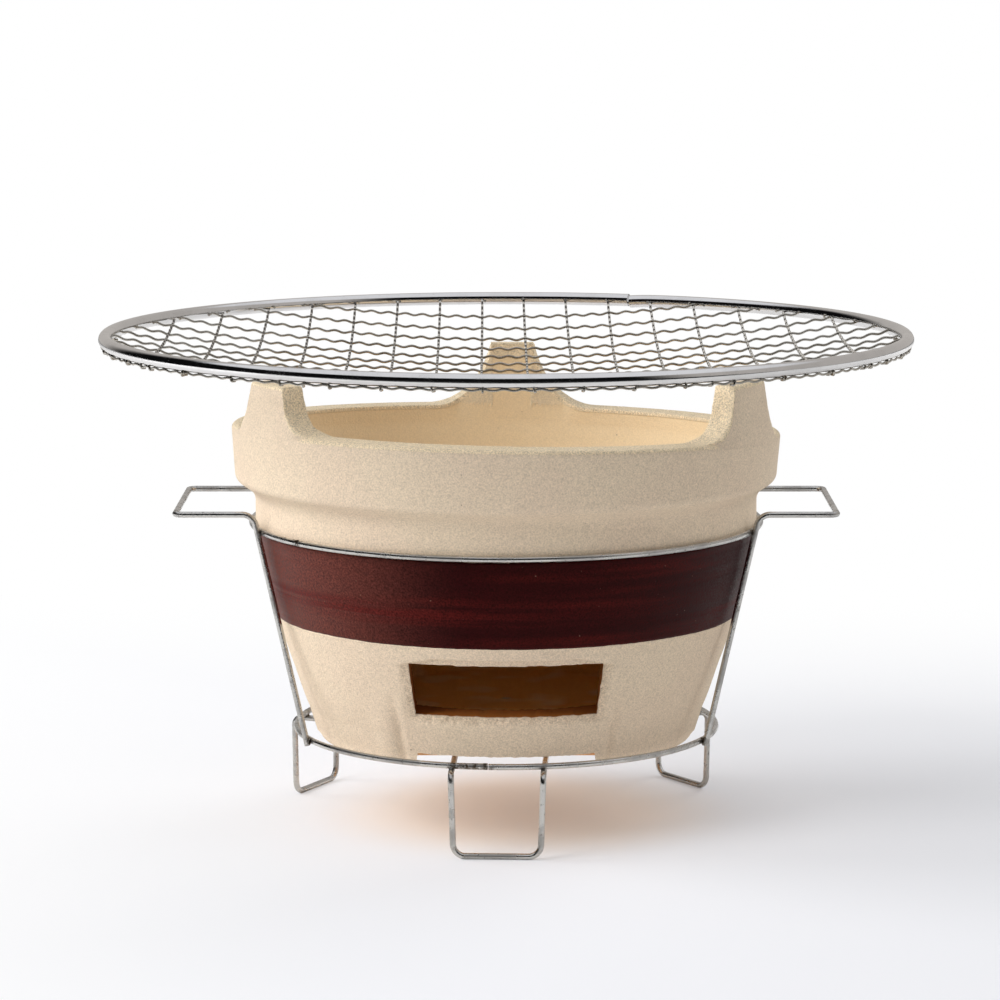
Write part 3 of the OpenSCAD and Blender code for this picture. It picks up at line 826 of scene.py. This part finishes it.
# The crimped hem wire under the rim, which lies higher behind, and the hooked ends of the net's wires
def makeHem(wires):
    draw = np.random.default_rng(23)
    turn = np.arange(hem["steps"]) * 2 * math.pi / hem["steps"]
    beat = turn * hem["waves"] + layeredLumps(ringPoints(132.0, 0.0, turn), [hem["uneven"]])
    drop = hem["drop"] - (hem["drop"] - hem["rearDrop"]) * smoothStep(*hem["rearFrom"], np.sin(turn))
    height = rimHeight - drop + np.sin(beat) * hem["rise"]
    path = ringPoints(hem["radius"] + np.cos(beat) * hem["sway"], height, turn)
    verts, faces = tubes([path], hem["wire"] / 2, net["sides"], closed=True)
    hooks = [hookPath(wire[end], draw) for wire in wires for end in (0, -1)]
    more, moreFaces = tubes(hooks, hook["wire"] / 2, net["sides"])
    faces += [tuple(k + len(verts) for k in face) for face in moreFaces]
    makeObject("net_hem", np.concatenate([verts, more]), faces, "net", material=netMaterial)


rim = {"joint": 70.2, "gap": 0.35, "drop": 0.52, "dropSharp": 160, "sides": 28, "steps": 540, "in": 0.05,
       "rise": (40, 0.06, 71), "uneven": (17, 0.03, 72), "sharp": 50}


# The rolled rim: one tube whose ends meet behind, in a slightly open joint where the last end drops
def makeRim():
    gap = rim["gap"] / net["rimMiddle"]
    share = np.linspace(0, 1, rim["steps"])
    turn = math.radians(rim["joint"]) + gap + share * (2 * math.pi - 2 * gap)
    flat = ringPoints(net["rimMiddle"], 0.0, turn)
    drop = np.exp(-(1 - share) * rim["dropSharp"]) * rim["drop"]
    thick = net["rimTube"] + layeredLumps(flat, [rim["uneven"]])
    middle = np.minimum(rimHeight + layeredLumps(flat, [rim["rise"]]), rimHigh[2] - thick) - drop
    verts, faces = tubes([ringPoints(net["rimMiddle"] - rim["in"], middle, turn)], thick, rim["sides"])
    piece = makeObject("net_rim_tube", verts, faces, "net", ["net_rim"], rimMaterial)
    sharpen(piece, rim["sharp"])


makeHem(makeNet())
makeRim()
print("net woven, hemmed and rimmed")


# ---- pot ----

# Millimetres and degrees. Each lug has its angle, the width of its top and the radius at its foot. The rim's
# tilt has its drop all round, towards the rear and towards the right
pot = {
    "fineSpan": (270, 34), "columns": {"fine": 0.24, "coarse": 0.9}, "rows": {"fine": 0.5, "coarse": 1.1},
    "lugs": ((88.6, 14.9, 21.5), (209.5, 21.2, 14.0), (332.8, 22.5, 14.0)), "lugHalf": 20.0,
    "lugRadius": 85.0, "lugHeight": 17.5, "lugLean": 15.6, "lugSoft": 0.7, "lugStep": 0.5, "lugDraft": 1.6,
    "lugThick": 7.6, "outerEdge": 1.3, "innerEdge": 0.45, "innerShares": (0.35, 0.7, 1),
    "tilt": (-1.1, -3.25, -1.55),
    "seat": 28.95, "foot": 26.5, "footRadius": 62.2, "footIn": 52.0, "bellyLow": 36.95, "bellyRadius": 65.4,
    "bandLow": 68.8, "bandTop": 97.85, "neckRadius": 83.6, "curve": 240.0, "slope": 109.65, "collar": 114.25,
    "collarRadius": 90.2, "rimRadius": 91.3, "rim": 131.95, "rimIn": 79.8, "rimRound": 1.9, "backDepth": 6.0,
    "ledge": 68.95, "chamberLow": 65.0, "ashTop": 57.0, "ashLow": 53.0, "floor": 37.95,
    "ventTop": 62.6, "ventLow": 58.2, "ventSill": 44.8, "ventHeight": 17.9, "border": 4.2, "borderDepth": 1.5}

# How many rows of points each stretch of the wall's top has, from the outside to the inside
topRows = {"round": 9, "face": 18, "outerEdge": 5, "top": 9, "innerEdge": 3, "back": 16}

# The hand-finished surface. Lumps have their size, depth and seed. A crease starts beside a notch, leans out
# as it rises, and has a valley and a shoulder, each with its place, width and depth
finish = {
    "wall": ((34, 0.16, 5), (11, 0.05, 6)), "borderPits": ((0.9, 0.33, 3), (1.9, 0.3025, 4)),
    "rimPits": ((0.8, 0.5, 7), (1.7, 0.5, 8)), "pitLimit": 0.25, "rimPitDepth": 0.20, "topPitDepth": 0.08,
    "gouges": ((0.9, 0.204, 9), (2.1, 0.204, 10)), "steep": (0.25, 1.2), "creaseOut": 31.5, "creaseLow": 5.5,
    "creaseLean": ((-1, 0.17), (1, 0.14)), "creaseFade": (8, 25), "valley": (0.6, 1.3, 1.0),
    "shoulder": (5.0, 3.4, 0.8), "ridge": (-0.42, 0.2, 0.13)}


# A smooth swelling about a place
def bell(value, place, width, height=1.0):
    return np.exp(-((value - place) / width) ** 2) * height


# The wall's radius at a height: an arc that bulges between the foot of the belly and the neck
def bellyRadius(z):
    low = np.array([pot["bellyRadius"], pot["bellyLow"]])
    high = np.array([pot["neckRadius"], pot["bandTop"]])
    way = high - low
    chord = np.linalg.norm(way)
    back = math.sqrt(pot["curve"] ** 2 - chord ** 2 / 4)
    middle = (low + high) / 2 + np.array([-way[1], way[0]]) / chord * back
    return middle[0] + np.sqrt(pot["curve"] ** 2 - (z - middle[1]) ** 2)


# Height of a lug above the rim at a distance along the rim from its middle
def lugRise(along, topWidth, fillet):
    top, soft, lean = pot["lugHeight"], pot["lugSoft"], math.radians(pot["lugLean"])
    x = np.abs(along)
    foot = topWidth / 2 + top * math.tan(lean)
    filletX = foot + fillet * math.tan((math.pi / 2 - lean) / 2)
    side = top - (x - topWidth / 2) / math.tan(lean)
    inside = np.clip(filletX - x, 0, fillet)
    arc = fillet - np.sqrt(np.maximum(fillet ** 2 - inside ** 2, 0))
    meet = filletX - fillet * math.cos(lean)
    rise = np.where(x < meet, side, arc)
    rise = np.where(x > filletX, 0, rise)
    return np.where(rise > top - soft, top - soft + soft * np.tanh((rise - top + soft) / soft), rise)


# The angles of the columns of points, which stand closer at the lugs and in front
def columnAngles():
    middle, half = pot["fineSpan"]
    spans = [(middle - half, middle + half)]
    spans += [(angle - pot["lugHalf"], angle + pot["lugHalf"]) for angle, width, fillet in pot["lugs"]]
    spans.sort()
    angles, here = [], spans[0][0]

    def fill(start, end, step):
        count = int(math.ceil((end - start) / step))
        angles.extend(np.linspace(start, end, count, endpoint=False))

    for start, end in spans:
        start = max(start, here)
        if start > here:
            fill(here, start, pot["columns"]["coarse"])
        fill(start, end, pot["columns"]["fine"])
        here = end
    fill(here, spans[0][0] + 360, pot["columns"]["coarse"])
    return np.radians(angles)


# Distance outside the vent's outline, in the front view; negative inside, and large above its top edge
def ventDistance(x, z):
    p = pot
    share = np.clip((z - p["ventSill"]) / p["ventHeight"], 0, 1)
    half = (p["ventLow"] + (p["ventTop"] - p["ventLow"]) * share) / 2
    beside = np.abs(x) - half
    below = p["ventSill"] - z
    above = z - p["ventSill"] - p["ventHeight"]
    out = np.hypot(np.maximum(beside, 0), np.maximum(below, 0))
    out = np.where((beside < 0) & (below < 0), np.maximum(beside, below), out)
    return out + np.maximum(above + 0.6, 0) * 4


# The pot's outer outline, from the middle of its underside up to the rim
def outerLine():
    p = pot
    lower = roundedLine([(2, p["seat"]), (p["footIn"], p["seat"]), (p["footIn"], p["foot"]),
                         (p["footRadius"], p["foot"]), (bellyRadius(p["bellyLow"]), p["bellyLow"])],
                        [2.0, 1.0, 1.6], 1.2)
    fine = list(np.arange(p["bellyLow"], p["bandLow"] - 1, p["rows"]["fine"]))[1:]
    edge = list(p["bandLow"] - np.array([0.85, 0.7, 0.55, 0.4, 0.25, 0.1]))
    coarse = list(np.arange(p["bandLow"] + 0.2, p["bandTop"] - 1, p["rows"]["coarse"]))
    wall = np.array([(bellyRadius(z), z) for z in fine + edge + coarse])
    under = p["bandTop"] - 0.6
    upper = roundedLine([(bellyRadius(under), under), (p["neckRadius"], p["bandTop"]),
                         (p["neckRadius"], p["slope"]), (p["collarRadius"], p["collar"]),
                         (p["rimRadius"], p["rim"] - p["rimRound"])], [8.0, 6.0, 3.2], 0.7)
    return np.concatenate([lower, wall, upper])


# The top of the wall, row by row: the rim's rounding, then a lug's face, edges, top and back
def wallTop(turn, brim, tilt):
    p = pot
    rise = np.zeros(len(turn))
    for angle, width, fillet in p["lugs"]:
        off = (turn - math.radians(angle) + math.pi) % (2 * math.pi) - math.pi
        lug = lugRise(p["lugRadius"] * np.sin(off), width, fillet)
        rise = np.maximum(rise, np.where(np.abs(off) < 1, lug, 0))
    rise = rise * (p["lugHeight"] - tilt) / p["lugHeight"]
    lugShare = smoothStep(0.1, 3.0, rise)
    bend = np.radians(90 - lugShare * 72)
    middle, bow = p["rimRadius"] - p["rimRound"], p["rimRound"]
    rows = []
    for share in np.linspace(0.12, 1, topRows["round"]):
        rows.append((middle + bow * np.cos(bend * share), brim - bow + bow * np.sin(bend * share)))
    startR, startZ = rows[-1]
    top = brim + rise
    face = p["rimRadius"] - p["lugStep"]
    topOut = middle + lugShare * (face - middle - p["lugDraft"] * rise / p["lugHeight"])
    edge = np.minimum(p["outerEdge"], (top - startZ) * 0.5) + 1e-3
    for share in np.linspace(0.06, 1, topRows["face"]):
        rows.append((startR + (topOut - startR) * share, startZ + (top - edge - startZ) * share))
    for angle in np.linspace(0.2, 1, topRows["outerEdge"]) * math.pi / 2:
        rows.append((topOut - edge * (1 - math.cos(angle)), top - edge * (1 - math.sin(angle))))
    topIn = p["rimIn"] + lugShare * (face - p["lugDraft"] - p["lugThick"] - p["rimIn"])
    crisp = p["innerEdge"]
    for share in np.linspace(0.1, 1, topRows["top"]):
        rows.append((topOut - edge + (topIn + crisp - topOut + edge) * share, top))
    for share in p["innerShares"]:
        angle = share * math.pi / 2
        rows.append((topIn + crisp * (1 - math.sin(angle)), top - crisp * (1 - math.cos(angle))))
    for share in np.linspace(0.08, 1, topRows["back"]):
        rows.append((topIn + (p["rimIn"] - 0.1 - topIn) * share,
                     top - crisp + (brim - p["backDepth"] - top + crisp) * share))
    return rows, rise


# The radius and height of every point, and the row at which each stretch starts
def potGrid():
    p = pot
    turn = columnAngles()
    tilt = p["tilt"][0] + p["tilt"][1] * np.sin(turn) + p["tilt"][2] * np.cos(turn)
    brim = p["rim"] + tilt
    backLow = p["rim"] - p["backDepth"]
    rows, rise = wallTop(turn, brim, tilt)
    outer = outerLine()
    inner = roundedLine([(p["rimIn"] - 0.1, backLow), (p["chamberLow"], p["ledge"]),
                         (p["ashTop"], p["ledge"]), (p["ashLow"], p["floor"]), (2, p["floor"])],
                        [1.0, 1.0, 4.0], 1.6)[1:]
    outerHeight, innerHeight = (np.repeat(line[:, 1:], len(turn), 1) for line in (outer, inner))
    outerHeight = outerHeight + tilt * smoothStep(p["collar"], p["rim"] - p["rimRound"], outerHeight)
    innerHeight = innerHeight + tilt * smoothStep(p["ledge"], backLow, innerHeight)
    outerRadius, innerRadius = (np.repeat(line[:, :1], len(turn), 1) for line in (outer, inner))
    radius = np.concatenate([outerRadius, [r for r, z in rows], innerRadius])
    height = np.concatenate([outerHeight, [z for r, z in rows], innerHeight])
    starts, row = {}, len(outer)
    for stretch, count in topRows.items():
        starts[stretch] = row
        row += count
    starts["inner"] = row
    return turn, radius, height, starts, rise, brim


def makePot():
    p, f = pot, finish
    turn, radius, height, starts, rise, brim = potGrid()
    points = ringPoints(radius, height, turn)
    rows = np.arange(len(radius))[:, None] + np.zeros(len(turn))

    def between(first, last, after=0, past=0):
        return (rows >= starts[first] + after) & (rows < starts[last] + past)

    # the border pressed round the vent, with a pitted edge
    outside = (rows < starts["round"]) & (height > p["foot"] + 1.5)
    front = outside & (np.sin(turn) < -0.5)
    distance = ventDistance(points[:, :, 0], height)
    beside = front & (height < p["ventSill"] + p["ventHeight"] + 2)
    border = np.where(beside, 1 - smoothStep(-0.5, p["border"], distance), 0)
    edge = np.where(front, smoothStep(0, 0.5, border) * (1 - smoothStep(0.97, 1.0, border)), 0)
    push = layeredLumps(points, f["borderPits"]) * edge - border * p["borderDepth"]

    # the pressed foot: shallow creases that run up from the sides of each notch
    for k in range(3):
        around = turn - math.radians(270 + 120 * k)
        across = np.sin(around) * radius
        up = height - p["seat"]
        fade = (1 - smoothStep(*f["creaseFade"], up)) * (outside & (np.cos(around) > 0.3))
        for side, lean in f["creaseLean"]:
            off = across * side - f["creaseOut"] - (up + f["creaseLow"]) * lean
            push += (bell(off, *f["shoulder"]) - bell(off, *f["valley"])) * fade

    # a low ridge under the band, the slow unevenness of the wall, and the pitted rim edge
    push += np.where(outside, bell(height - p["bandLow"], *f["ridge"]), 0)
    push += np.where(rows < starts["inner"], layeredLumps(points, f["wall"]), 0)
    pits = layeredLumps(points, f["rimPits"])
    push += np.where(between("round", "face"), np.minimum(pits, f["pitLimit"]) * f["rimPitDepth"], 0)
    points += ringPoints(push, 0.0, turn)

    # rough cut sides of the lugs
    steep = np.abs(np.gradient(rise, turn * p["lugRadius"]))
    cut = np.where(between("round", "inner") & (height > brim + 0.4), smoothStep(*f["steep"], steep), 0)
    points += ringPoints(layeredLumps(points, f["gouges"]) * cut, 0.0, turn + math.pi / 2)
    points[:, :, 2] += np.where(between("face", "inner", 12, -4), pits * f["topPitDepth"], 0)

    verts = np.concatenate([points.reshape(-1, 3), [[0, 0, p["seat"]], [0, 0, p["floor"]]]])
    index = np.arange(radius.size).reshape(radius.shape)
    beyond = np.roll(index, -1, 1)
    quads = np.stack([index[:-1], beyond[:-1], beyond[1:], index[1:]], 2).reshape(-1, 4)
    faces = [tuple(q) for q in quads.tolist()]
    faces += [(radius.size, int(b), int(a)) for a, b in zip(index[0], beyond[0])]
    faces += [(radius.size + 1, int(a), int(b)) for a, b in zip(index[-1], beyond[-1])]
    piece = makeObject("pot", verts, faces, "pot", ["pot_body"])

    # what the clay's material needs: cut or sandy places, painted lighter partly as painted light, the rough
    # border round the vent, painted darker partly as painted shade, and the chambers
    sand = np.maximum(cut * between("outerEdge", "inner", -1), between("outerEdge", "back", 0, 2))
    sand = np.maximum(sand, np.where(between("round", "top", 2, 4), 1 - smoothStep(0.1, 1.5, rise), 0))
    masks = {"sand": sand, "roughAndShaded": np.where(border < 0.97, border, 0), "inside": rows > starts["back"]}
    for name, mask in masks.items():
        values = np.concatenate([mask.reshape(-1), [0, 1]]).astype(np.float32)
        piece.data.attributes.new(name, "FLOAT", "POINT").data.foreach_set("value", values)
    return piece


band = {"over": 0.13, "edge": (0.35, 0.5), "under": 0.35, "columns": 720, "rows": 40, "radius": 80,
        "lowLumps": ((14, 0.16, 51), (1.6, 0.07, 52)), "highLumps": ((12, 0.16, 53), (1.6, 0.07, 54))}


# The band: a skin of slip over the wall, with brushed, slightly wavy edges
def makeBand():
    outline = outerLine()
    outline = outline[outline[:, 1] > pot["bellyLow"]]
    count = band["columns"]
    turn = np.arange(count) * 2 * math.pi / count
    ring = ringPoints(band["radius"], 0.0, turn)
    low = pot["bandLow"] + layeredLumps(ring, band["lowLumps"])
    high = pot["bandTop"] - 0.1 + layeredLumps(ring, band["highLumps"])
    layers = []
    for share in np.linspace(0, 1, band["rows"]):
        z = low + (high - low) * share
        toEdge = np.minimum(z - low, high - z)
        radius = np.interp(z, outline[:, 1], outline[:, 0])
        radius = radius + layeredLumps(ringPoints(radius, z, turn), finish["wall"])
        radius = radius + band["over"] * np.clip(band["edge"][0] + toEdge / band["edge"][1], 0, 1)
        layers.append(ringPoints(radius, z, turn))
    inward = 1 - band["under"] / band["radius"]
    for edge in (layers[-1], layers[0]):
        layers.append(edge * (inward, inward, 1))
    faces = []
    for a in range(len(layers)):
        faces += facesBetween(a * count, (a + 1) % len(layers) * count, count)
    makeObject("band", np.concatenate(layers), faces, "pot", ["colour_band"], slipMaterial)


cutterGrain = {"step": 0.45, "layers": 9, "stretch": (1, 0.25, 1), "fine": (1.1, 0.6), "broad": (2.6, 0.5)}


# A cutter with slightly ragged sides: a front view pushed through along Y, then turned about the pot
def makeCutter(name, corners, near, far, degrees, ragged, seed):
    outline = roundedLine([*corners, corners[0]], [0.0] * (len(corners) - 1), cutterGrain["step"])[:-1]
    count = len(outline)

    # the way out from the outline at each point: up, down or aside, and both at a corner
    way = outline - outline.mean(0)
    way = way / np.abs(way).max(0)
    way = np.where(np.abs(way) > np.abs(way).max(1)[:, None] - 0.02, np.sign(way), 0)
    layers = [(*cutterGrain["fine"], seed), (*cutterGrain["broad"], seed + 1)]
    verts, faces = [], []
    for k, y in enumerate(np.linspace(near, far, cutterGrain["layers"])):
        flat = np.stack([outline[:, 0], np.full(count, -y), outline[:, 1]], 1)
        wobble = layeredLumps(flat * cutterGrain["stretch"], layers) * ragged
        flat[:, 0] += way[:, 0] * wobble
        flat[:, 2] += way[:, 1] * wobble
        verts.append(flat)
        if k:
            faces += facesBetween((k - 1) * count, k * count, count)
    faces.append(tuple(range(count))[::-1])
    faces.append(tuple(k * count + i for i in range(count)))
    return makeObject(name, turned(np.concatenate(verts), degrees), faces)


# The pieces of a face or two that the cuts leave lying loose are deleted
def cutFrom(piece, cutters):
    for cutter in cutters:
        step = piece.modifiers.new(cutter.name, "BOOLEAN")
        step.operation, step.solver, step.object = "DIFFERENCE", "MANIFOLD", cutter
    bpy.context.view_layer.update()
    graph = bpy.context.evaluated_depsgraph_get()
    mesh = bpy.data.meshes.new_from_object(piece.evaluated_get(graph))
    mesh.validate()
    shell = bmesh.new()
    shell.from_mesh(mesh)
    slivers = [face for face in shell.faces if all(len(edge.link_faces) == 1 for edge in face.edges)]
    bmesh.ops.delete(shell, geom=slivers, context="FACES")
    shell.to_mesh(mesh)
    shell.free()
    piece.modifiers.clear()
    piece.data = mesh
    for cutter in cutters:
        bpy.data.objects.remove(cutter)


# Each cut goes from a near to a far distance in front of the pot's middle, and has more or less ragged sides.
# A notch cuts through the foot ring, and behind the ring its back part reaches only to the pot's seat
cuts = {"vent": (30, 95), "ventRagged": 0.32, "notch": (50, 72), "notchBack": (40.4, 50.5),
        "notchRagged": 0.22, "notchFoot": 30.1, "notchTop": 28.5, "notchBackTop": 29,
        "below": 7, "above": 2.2, "backAbove": 0.02}


# The four corners of a cut that is as wide as given at its foot and at its top
def cutCorners(halfLow, halfHigh, low, high):
    return [(-halfLow, low), (halfLow, low), (halfHigh, high), (-halfHigh, high)]


def makeCutters():
    c, sill, seat = cuts, pot["ventSill"], pot["seat"]
    vent = cutCorners(pot["ventLow"] / 2, pot["ventTop"] / 2, sill, sill + pot["ventHeight"])
    front = cutCorners(c["notchFoot"], c["notchTop"], seat - c["below"], seat + c["above"])
    back = cutCorners(c["notchFoot"], c["notchBackTop"], seat - c["below"], seat + c["backAbove"])
    cutters = [makeCutter("vent_cut", vent, *c["vent"], 0, c["ventRagged"], 21)]
    for k in range(3):
        cutters.append(makeCutter(f"notch_cut_{k}", front, *c["notch"], 120 * k, c["notchRagged"], 31 + k))
        cutters.append(makeCutter(f"notch_back_{k}", back, *c["notchBack"], 120 * k, 0, 41 + k))
    return cutters


potPiece = makePot()
cutFrom(potPiece, makeCutters())
sharpen(potPiece, 38)
potPiece.data.materials.clear()
potPiece.data.materials.append(clayMaterial)
makeBand()
print("pot and band made,", len(potPiece.data.vertices), "points")


# ---- stand ----

# A weld bead: a small ball with an uneven surface
def lumpyBall(middle, size, turn, seed):
    rings, sides = 7, 12
    verts, faces = [(0, 0, 1)], []
    for i in range(1, rings):
        tilt = math.pi * i / rings
        verts += [*ringPoints(math.sin(tilt), math.cos(tilt), np.arange(sides) * 2 * math.pi / sides)]
    verts.append((0, 0, -1))
    verts = np.array(verts)
    verts = verts * (1 + 0.22 * lumps(verts, 0.7, seed))[:, None] * np.array(size)
    last, lowest = len(verts) - 1, 1 + (rings - 2) * sides
    for k in range(sides):
        beside = (k + 1) % sides
        faces.append((0, 1 + k, 1 + beside))
        faces.append((last, lowest + beside, lowest + k))
    for a in range(1, lowest, sides):
        faces += [face[::-1] for face in facesBetween(a, a + sides, sides)]
    return turned(verts, math.degrees(turn)) + np.array(middle), faces


# A ring's wire is rougher near its ends, within a reach and by an amount
ringWire = {"sides": 18, "steps": 420, "gap": 0.15, "out": 0.6, "up": 0.5, "outLumps": ((30, 0.05, 81),),
            "upLumps": ((26, 0.05, 82),), "thickLumps": ((2.3, 1.0, 83),), "rough": 0.012,
            "endRough": (7, 0.05), "startRough": (2, 0.03), "stepReach": 5, "thickReach": 3, "sharp": 50}


# The two rings, each bent round until its ends meet, with a small step where they are welded
def makeRing(name, node, joint, step, thicker):
    radius, height = ringOf(node)
    w = ringWire
    start, gap = math.radians(joint), w["gap"] / radius
    turn = start + np.linspace(gap, 2 * math.pi - gap, w["steps"])
    toStart = (turn - start) * radius
    toEnd = 2 * math.pi * radius - toStart
    flat = ringPoints(radius, height, turn)
    offset = bell(toEnd, 0, w["stepReach"], step)
    out = offset * w["out"] + layeredLumps(flat, w["outLumps"])
    up = offset * w["up"] + layeredLumps(flat, w["upLumps"])
    rough = w["rough"] + bell(toEnd, 0, *w["endRough"]) + bell(toStart, 0, *w["startRough"])
    thick = stand["wire"] / 2 + bell(toEnd, 0, w["thickReach"], thicker)
    thick = thick + layeredLumps(flat, w["thickLumps"]) * rough
    verts, faces = tubes([ringPoints(radius + out, height + up, turn)], thick, w["sides"])
    sharpen(makeObject(name, verts, faces, "stand", [node], standMaterial), w["sharp"])


def makeWelds():
    verts, faces, base = [], [], 0
    for k, (place, turn, size) in enumerate(weldBeads):
        ball, ballFaces = lumpyBall(place, size, turn, 90 + k)
        verts.append(ball)
        faces += [tuple(i + base for i in face) for face in ballFaces]
        base += len(ball)
    makeObject("weld_beads", np.concatenate(verts), faces, "stand", material=standMaterial)


makeRing("lower_ring", "stand_lower_ring", stand["lowerJoint"], 0.28, 0.10)
makeRing("upper_ring", "stand_upper_ring", stand["upperJoint"], 0.10, 0.05)
makeWelds()

# The solids that show as they are
bareWires = ("left_handle_wire", "right_handle_wire", "front_leg", "left_rear_leg", "right_rear_leg")
dress = {**dict.fromkeys(bareWires, standMaterial), "fire_grate": grateMaterial}
for name, material in dress.items():
    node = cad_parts[name]
    node.data.materials.clear()
    node.data.materials.append(material)
print("stand and grate dressed")
